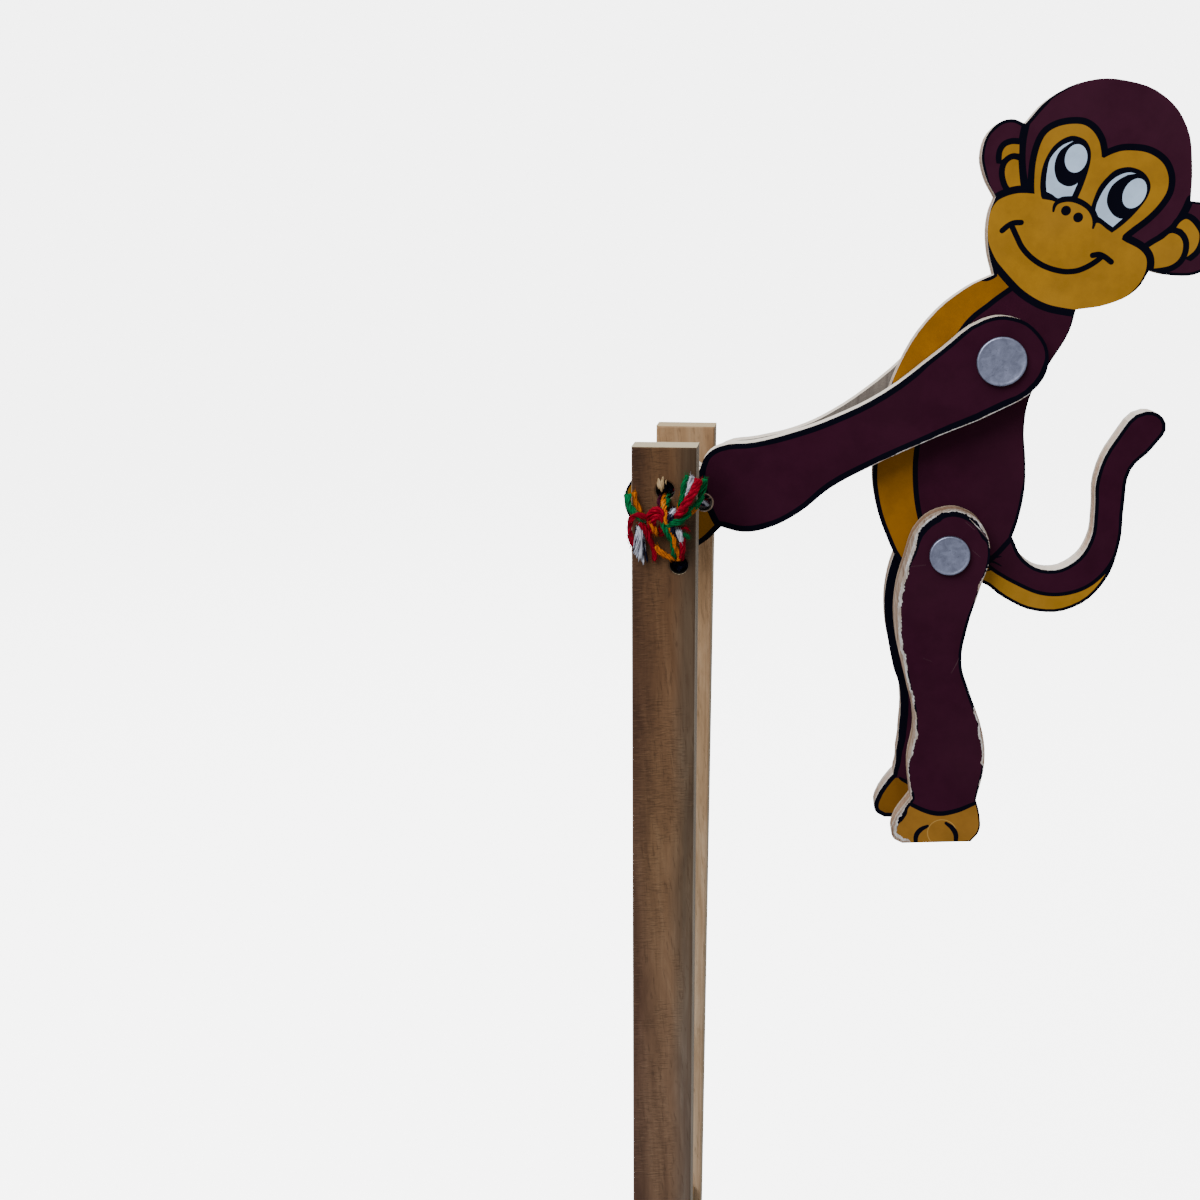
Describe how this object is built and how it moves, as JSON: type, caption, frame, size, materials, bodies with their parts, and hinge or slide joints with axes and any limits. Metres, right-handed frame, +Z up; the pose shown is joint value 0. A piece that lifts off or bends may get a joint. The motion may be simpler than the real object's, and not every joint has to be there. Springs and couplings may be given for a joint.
{
  "type": "jumping monkey squeeze toy",
  "caption": "Squeeze toy: a flat jointed plywood monkey hangs by its hands on a twisted string between two wooden sticks and somersaults when the sticks are squeezed.",
  "frame": {"origin": "midway between the two sticks, level with their lower ends, where a hand squeezes them", "axes": "+Z up along the sticks, -Y to the front (printed side), +X to the side where the monkey hangs"},
  "size_m": [0.1615, 0.0719, 0.4952],
  "materials": {
    "dark_lath": "raw sawn, dark brown",
    "tan_lath": "raw sawn, tan",
    "crossbar_wood": "raw sawn",
    "plywood": "raw fretsawn edges",
    "print": "printed and sealed, satin",
    "aluminium": "dull, scuffed",
    "steel": "bright wire nail",
    "yarn": "loose many-coloured yarn"
  },
  "bodies": {
    "crossbar": {"crossbar": "crossbar_wood", "front_pivot_nail": "steel", "rear_pivot_nail": "steel"},
    "front_stick": {"front_stick": "dark_lath", "string_knot": "yarn", "string_tail_left": "yarn", "string_tail_low": "yarn", "string_tail_right": "yarn", "string_front_upper": "yarn", "string_front_lower": "yarn"},
    "rear_stick": {"rear_stick": "tan_lath", "string_rear_loop": "yarn"},
    "arms": {"front_arm": "plywood", "front_arm_print": "print", "rear_arm": "plywood", "rear_arm_print": "print", "shoulder_rivet": "aluminium", "shoulder_washer": "aluminium", "string_hand_upper": "yarn", "string_hand_lower": "yarn", "string_run_front_upper": "yarn", "string_run_front_lower": "yarn", "string_run_rear_upper": "yarn", "string_run_rear_lower": "yarn"},
    "trunk": {"body_plate": "plywood", "body_front_print": "print", "body_back_print": "print", "hip_rivet": "aluminium", "hip_washer": "aluminium"},
    "front_leg": {"front_leg": "plywood", "front_leg_print": "print"},
    "rear_leg": {"rear_leg": "plywood", "rear_leg_front_print": "print", "rear_leg_back_print": "print"}
  },
  "joints": [
    {"name": "front_squeeze", "type": "hinge", "parent": "crossbar", "child": "front_stick", "pos_m": [0, -0.021, 0.125], "axis": [1, 0, 0], "range_deg": [-1, 1.1], "stiffness_Nm_per_rad": 20, "deforming": ["string_run_front_upper", "string_run_front_lower", "string_run_rear_upper", "string_run_rear_lower"]},
    {"name": "rear_squeeze", "type": "hinge", "parent": "crossbar", "child": "rear_stick", "pos_m": [0, 0.021, 0.125], "axis": [1, 0, 0], "range_deg": [-1.1, 1], "deforming": ["string_run_front_upper", "string_run_front_lower", "string_run_rear_upper", "string_run_rear_lower"]},
    {"name": "arm_swing", "type": "hinge", "parent": "crossbar", "child": "arms", "pos_m": [0.0023, 0, 0.3775], "axis": [0, -1, 0], "range_deg": [-23, 168], "stiffness_Nm_per_rad": 0.04, "springref_deg": 71.39, "deforming": ["string_run_front_upper", "string_run_front_lower", "string_run_rear_upper", "string_run_rear_lower"]},
    {"name": "trunk_swing", "type": "hinge", "parent": "arms", "child": "trunk", "pos_m": [0.09072, 0, 0.42158], "axis": [0, -1, 0], "range_deg": [-25, 280]},
    {"name": "front_leg_swing", "type": "hinge", "parent": "trunk", "child": "front_leg", "pos_m": [0.07952, 0, 0.36708], "axis": [0, 1, 0], "range_deg": [-140, 80]},
    {"name": "rear_leg_swing", "type": "hinge", "parent": "trunk", "child": "rear_leg", "pos_m": [0.07952, 0, 0.36708], "axis": [0, 1, 0], "range_deg": [-140, 75]}
  ],
  "couplings": [
    {"joint": "rear_squeeze", "follows": "front_squeeze", "ratio": -1}
  ]
}
